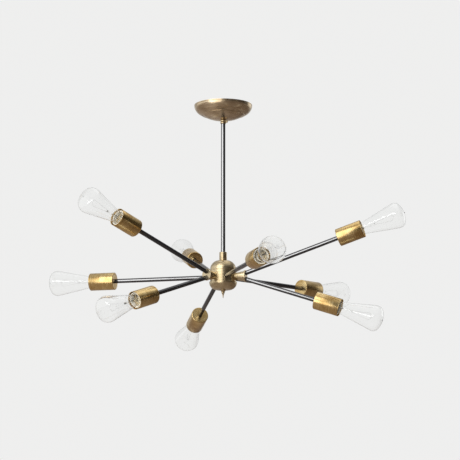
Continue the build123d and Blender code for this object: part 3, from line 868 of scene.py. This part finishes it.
FLARE = 11.5  # of the straight flank, from the axis
GLASS_WALL = 0.8
GLASS_NECK_R = 13.2
CROWN_R = 45  # the nearly flat end
SHOULDER_R = 13
BELLY_R = 40  # eases the flank into the widest point
WIDEST_R = 27.5
CROWN_Z = 106.0  # the middle of the crown's arc
SHOULDER_X = WIDEST_R - SHOULDER_R
SHOULDER = (SHOULDER_X, CROWN_Z + sqrt((CROWN_R - SHOULDER_R) ** 2 - SHOULDER_X**2))


def glass_skin(shrink):
    """The envelope's outline from crown to neck, drawn in by shrink."""
    lift = 63.06  # where the crown's arc meets the shoulder's, in degrees
    skin = arc((0, CROWN_Z), CROWN_R - shrink, 87.2, lift, 12)
    skin += arc(SHOULDER, SHOULDER_R - shrink, lift, 0, 16)[1:]
    skin += arc((WIDEST_R - BELLY_R, SHOULDER[1]), BELLY_R - shrink, 0, -FLARE, 8)[1:]
    belly = skin[-1]
    neck_r = GLASS_NECK_R - shrink
    neck_z = belly[1] - (belly[0] - neck_r) / tan(radians(FLARE))
    for t in (0.25, 0.5, 0.75, 0.95):
        skin.append((belly[0] * (1 - t) + neck_r * t, belly[1] * (1 - t) + neck_z * t))
    return skin + [(neck_r, neck_z - 1.5), (neck_r, 52.0), (neck_r, 48.0)]


def bulb_glass():
    """Clear teardrop envelope with its sealed tip, and the flared stem inside."""
    outline = [(0, 152.5), (0.35, 152.45), (0.75, 152.1), (1.05, 151.6), (1.35, 151.25)]
    outline += [(1.8, 151.05)] + glass_skin(0)
    outline += [(12.9, 47.2), (12.2, 46.4), (12.0, 45.5), (12.0, 37.6), (11.65, 37.0), (11.3, 37.4)]
    outline += bulged((11.0, 38.6), (2.4, 45.2), 1.5, 8) + [(0.9, 46.0), (0.9, STEM_TOP - 0.75)]
    outline += arc((1.65, STEM_TOP - 0.75), 0.75, 180, 0, 6)
    outline += [(2.4, 78.0), (2.0, 76.0), (2.0, 54.0), (2.6, 50.0)]
    outline += bulged((3.2, 48.6), (11.35, 40.2), -1.5, 8) + [(11.35, 46.0)]
    outline += glass_skin(GLASS_WALL)[::-1] + [(0, 150.2)]
    return finished(turned("bulb_glass", outline, 112, closed=False), GLASS, 50)


def filament():
    """Two lead wires on the stem, and the coil that they hold."""
    pieces = []
    for side in (-1, 1):
        foot = side * 1.65
        lead = [(foot, 0, STEM_TOP - 3), (foot, 0, STEM_TOP + 1), (side * 2.2, 0, STEM_TOP + 4)]
        lead += [(side * 4.6, 0, 104), (side * 6.8, 0, 118), (side * 7.3, 0, 121.4)]
        pieces.append(finished(wire("lead", lead, 0.15, 2), WIRE))
    turns, steps, coil_r, middle = 44, 8, 0.32, 118.6
    parts = 40
    rise = arc((0, middle), 7.0, 158, 22, parts)
    coil = []
    for i in range(turns * steps + 1):
        along = i / (turns * steps) * parts
        k = min(int(along), parts - 1)
        x = rise[k][0] + (rise[k + 1][0] - rise[k][0]) * (along - k)
        z = rise[k][1] + (rise[k + 1][1] - rise[k][1]) * (along - k)
        out = Vector((x, z - middle)).normalized() * coil_r * cos(2 * pi * i / steps)
        coil.append((x + out.x, coil_r * sin(2 * pi * i / steps), z + out.y))
    pieces.append(finished(wire("coil", coil, 0.05, 1, smooth=False), WIRE))
    return joined("filament", pieces)


def bulbs():
    in_each_cup(bulb_cap(), "screw_cap", "bulb_{}", "bulb_cap", "bulb_base_{}")
    in_each_cup(filament(), "filament", "bulb_{}", "bulb_cap", "bulb_base_{}")
    in_each_cup(bulb_glass(), "bulb_envelope", "bulb_{}", "clear_glass", "bulb_glass_{}")


def carried_over():
    """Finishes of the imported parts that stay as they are, all inside the canopy, hub and cups."""
    finishes = {"ground_screw": GREEN, "centre_contacts": CAP_BRASS}
    steel = ["crossbar", "ceiling_nipple", "stem_coupler", "tie_tube", "lock_nuts"]
    for name in steel + ["socket_brackets"]:
        finishes[name] = STEEL
    for name, finish in finishes.items():
        part = frame["nodes"][name]
        part.data.materials.clear()
        part.data.materials.append(finish)


canopy()
slip_ring()
thumb_screw()
stem()
neck_coupling()
hub_top()
hub_body()
hub_bottom()
finial()
holders()
arms()
lamp_cups()
porcelain_sockets()
screw_shells()
bulbs()
carried_over()


# Studio


FLOOR_SIZE = 24  # in metres, as all sizes of the studio
FLOOR_Z = -1.75
FLOOR_GLOW = 0.44  # brings the floor, as the camera sees it, up to the backdrop


def floor():
    """Plain pale floor, well below the fixture; in metal's reflections it shows a painted
    reflection, warm and dimmer towards the right.
    """
    deselect()
    bpy.ops.mesh.primitive_plane_add(size=FLOOR_SIZE, location=(0, 0, 0))
    plane = bpy.context.object
    plane.name = plane.data.name = "studio_floor"
    placed(plane, Matrix.Translation((0, 0, FLOOR_Z)))
    material, tree, shader = new_material("pale_floor")
    age = effect(tree, PATINA, {"Patch size": 300.0})
    colour = ramp(tree, age["Patch"], (0.3, (0.78, 0.78, 0.77)), (0.7, (0.8, 0.8, 0.79)))
    path = node(tree, "ShaderNodeLightPath").outputs
    direct = maths(tree, "MAXIMUM", path["Is Camera Ray"], path["Is Transmission Ray"])
    # painted reflection: glossy rays, and no others, see the floor in a colour of its own
    painted_reflection_mask = maths(tree, "GREATER_THAN", path["Is Glossy Ray"], direct)
    place = node(tree, "ShaderNodeTexCoord").outputs["Object"]
    x = node(tree, "ShaderNodeSeparateXYZ", {0: place}).outputs["X"]
    across = smooth_rise(tree, x, -1.0, 1.3)
    # painted reflection: warm, and dimmer towards the right, standing in for a darker room that the
    # metal reflects there
    painted_reflection_colour = ramp(tree, across, (0.0, (0.86, 0.74, 0.68)), (1.0, (0.4, 0.31, 0.26)))
    mixed = node(tree, "ShaderNodeMix", {0: painted_reflection_mask, 6: colour, 7: painted_reflection_colour}, data_type="RGBA")
    tree.links.new(mixed.outputs[2], shader.inputs["Base Color"])
    set_plain(shader, Roughness=0.8, Emission_Color=(1.0, 1.0, 0.99, 1))
    glow = maths(tree, "MULTIPLY", direct, FLOOR_GLOW)
    tree.links.new(glow, shader.inputs["Emission Strength"])
    plane.data.materials.append(material)


def softbox(name, place, aim, size, radiance):
    """A soft panel of light of this radiance, aimed at a point."""
    light = bpy.data.lights.new(name, "AREA")
    light.shape = "RECTANGLE"
    light.size, light.size_y = size
    light.energy = radiance * pi * size[0] * size[1]
    lamp = bpy.data.objects.new(name, light)
    bpy.context.scene.collection.objects.link(lamp)
    lamp.location = place
    lamp.rotation_euler = (Vector(aim) - Vector(place)).to_track_quat("-Z", "Y").to_euler()
    lamp.visible_camera = lamp.visible_transmission = False
    return lamp


def lights_only(lamp, *starts):
    """Keeps a lamp's light to the pieces whose names start so."""
    lit = bpy.data.collections.new(lamp.name + "_lit")
    for piece in bpy.context.scene.objects:
        if piece.name.startswith(starts):
            lit.objects.link(piece)
    lamp.light_linking.receiver_collection = lit


def light_from(tree, colour):
    """A background of this colour at plain strength."""
    values = {"Color": colour, "Strength": 1.0}
    return node(tree, "ShaderNodeBackground", values).outputs[0]


def mixed_light(tree, choice, first, second):
    return node(tree, "ShaderNodeMixShader", {0: choice, 1: first, 2: second}).outputs[0]


def backdrop():
    """Pale all round to the camera; metal reflects a dark room with bright sides."""
    world = bpy.data.worlds.new("studio")
    bpy.context.scene.world = world
    world.use_nodes = True
    tree = world.node_tree
    tree.nodes.clear()
    heading = node(tree, "ShaderNodeTexCoord").outputs["Generated"]
    x, y, z = node(tree, "ShaderNodeSeparateXYZ", {0: heading}).outputs
    back = smooth_rise(tree, y, 0.3, 0.9, 0.6)
    left = smooth_rise(tree, x, -0.65, -0.92, 1.4)
    above = smooth_rise(tree, z, 0.35, 0.9, 0.6)
    bright = maths(tree, "MAXIMUM", maths(tree, "MAXIMUM", back, left), above)
    room = ramp(tree, bright, (0.0, (0.045, 0.04, 0.035)), (1.0, (1.0, 1.0, 1.0)))
    path = node(tree, "ShaderNodeLightPath").outputs
    seen = maths(tree, "MAXIMUM", path["Is Camera Ray"], path["Is Transmission Ray"])
    around = light_from(tree, (0.42, 0.42, 0.42, 1))
    lit = mixed_light(tree, path["Is Glossy Ray"], around, light_from(tree, room))
    shown = mixed_light(tree, seen, lit, light_from(tree, (0.86, 0.86, 0.855, 1)))
    node(tree, "ShaderNodeOutputWorld", {"Surface": shown})


def lamps():
    """A window to the left, and softer lamps above and behind; glints have lamps of their own."""
    middle, in_front = (0, 0, -0.38), (0, 0, 0.15)
    meshes = [piece.name for piece in bpy.context.scene.objects if piece.type == "MESH"]
    others = ("studio_floor", "bulb_envelope")
    opaque = [name for name in meshes if not name.startswith(others)]
    window = softbox("window", (-1.35, -2.2, 0.35), middle, (2.4, 3.7), 2.6)
    lights_only(window, *opaque)
    glint = softbox("tube_glint", (-1.46, -2.05, 0.15), in_front, (3.2, 2.2), 9.0)
    lights_only(glint, "stem_tube", "arm_tube")
    glint = softbox("glass_glint", (-1.4, -2.1, 0.15), (0, 0, 0.0), (2.2, 0.6), 5.0)
    lights_only(glint, "bulb_envelope")
    softbox("overhead", (0.3, 0.2, 1.3), middle, (1.6, 1.6), 0.7)
    softbox("fill", (2.2, 1.7, 0.2), middle, (1.2, 1.2), 0.8)


PHOTO_WIDTH = 460  # in pixels
FOCAL_PIXELS = 1800
EYE = (0.0149, -3.851, -0.948)
UPWARD = 9.87  # degrees that the camera looks up


def camera():
    """The photograph's viewpoint: in front, a little below the arms, looking up."""
    lens = bpy.data.cameras.new("camera")
    lens.sensor_width = 36
    lens.lens = lens.sensor_width * FOCAL_PIXELS / PHOTO_WIDTH
    lens.clip_end = 50
    eye = bpy.data.objects.new("camera", lens)
    bpy.context.scene.collection.objects.link(eye)
    eye.location = EYE
    eye.rotation_euler = (radians(90 + UPWARD), 0, 0)
    bpy.context.scene.camera = eye


floor()
backdrop()
lamps()
camera()
bpy.context.scene.view_settings.view_transform = "Standard"
